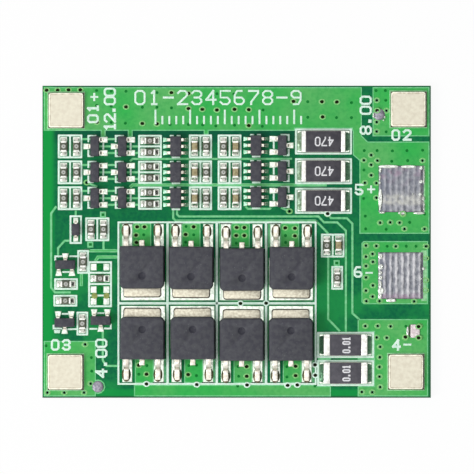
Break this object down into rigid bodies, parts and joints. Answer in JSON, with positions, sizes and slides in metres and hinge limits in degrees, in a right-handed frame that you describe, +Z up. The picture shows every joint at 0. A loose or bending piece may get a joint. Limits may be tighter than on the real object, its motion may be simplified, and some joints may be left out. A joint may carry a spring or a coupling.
{
  "type": "battery management board",
  "caption": "Flat rectangular circuit board that protects and balances a lithium battery pack, with power transistors, plated tabs for the cells and ribbed output pads",
  "frame": {"origin": "centre of the board on its underside", "axes": "+X along the board's long side towards the output pads, +Y towards the edge with the circuits and the two upper battery tabs, +Z up through the parts"},
  "size_m": [0.056, 0.045, 0.0036],
  "materials": {
    "board": "green solder mask on glass fibre and copper",
    "tin": "satin tin",
    "legend": "white ink",
    "tab_plating": "satin plating, warm",
    "solder_ridges": "uneven satin solder",
    "power_epoxy": "moulded, satin",
    "leadframe": "tinned, satin",
    "large_resistor_cover": "dark glaze, satin",
    "terminal": "bright tin",
    "package_epoxy": "moulded, satin",
    "chip_cover": "dark glaze",
    "capacitor_ceramic": "satin"
  },
  "bodies": {
    "root": {"circuit_board": "board", "solder_lands": "tin", "legend_frames": "legend", "battery_tab_upper_left": "tab_plating", "battery_tab_upper_right": "tab_plating", "battery_tab_lower_left": "tab_plating", "battery_tab_lower_right": "tab_plating", "output_pad_positive": "solder_ridges", "output_pad_negative": "solder_ridges", "sense_solder_points": "solder_ridges", "mosfet_body_upper_1": "power_epoxy", "mosfet_body_upper_2": "power_epoxy", "mosfet_body_upper_3": "power_epoxy", "mosfet_body_upper_4": "power_epoxy", "mosfet_body_lower_1": "power_epoxy", "mosfet_body_lower_2": "power_epoxy", "mosfet_body_lower_3": "power_epoxy", "mosfet_body_lower_4": "power_epoxy", "mosfet_leadframe_upper_1": "leadframe", "mosfet_leadframe_upper_2": "leadframe", "mosfet_leadframe_upper_3": "leadframe", "mosfet_leadframe_upper_4": "leadframe", "mosfet_leadframe_lower_1": "leadframe", "mosfet_leadframe_lower_2": "leadframe", "mosfet_leadframe_lower_3": "leadframe", "mosfet_leadframe_lower_4": "leadframe", "bleed_resistor_body_1": "large_resistor_cover", "bleed_resistor_body_2": "large_resistor_cover", "bleed_resistor_body_3": "large_resistor_cover", "bleed_resistor_terminals_1": "terminal", "bleed_resistor_terminals_2": "terminal", "bleed_resistor_terminals_3": "terminal", "shunt_resistor_body_1": "large_resistor_cover", "shunt_resistor_body_2": "large_resistor_cover", "shunt_resistor_terminals_1": "terminal", "shunt_resistor_terminals_2": "terminal", "transistor_body_1": "package_epoxy", "transistor_body_2": "package_epoxy", "transistor_body_3": "package_epoxy", "transistor_body_4": "package_epoxy", "transistor_body_5": "package_epoxy", "transistor_body_6": "package_epoxy", "transistor_body_7": "package_epoxy", "transistor_body_8": "package_epoxy", "transistor_body_9": "package_epoxy", "transistor_body_10": "package_epoxy", "transistor_body_11": "package_epoxy", "transistor_body_12": "package_epoxy", "controller_body_1": "package_epoxy", "controller_body_2": "package_epoxy", "controller_body_3": "package_epoxy", "controller_body_4": "package_epoxy", "controller_body_5": "package_epoxy", "controller_body_6": "package_epoxy", "diode_body": "package_epoxy", "small_package_leads": "leadframe", "chip_resistor_bodies": "chip_cover", "chip_resistor_terminals": "terminal", "chip_capacitor_bodies": "capacitor_ceramic", "chip_capacitor_terminals": "terminal"}
  },
  "joints": []
}
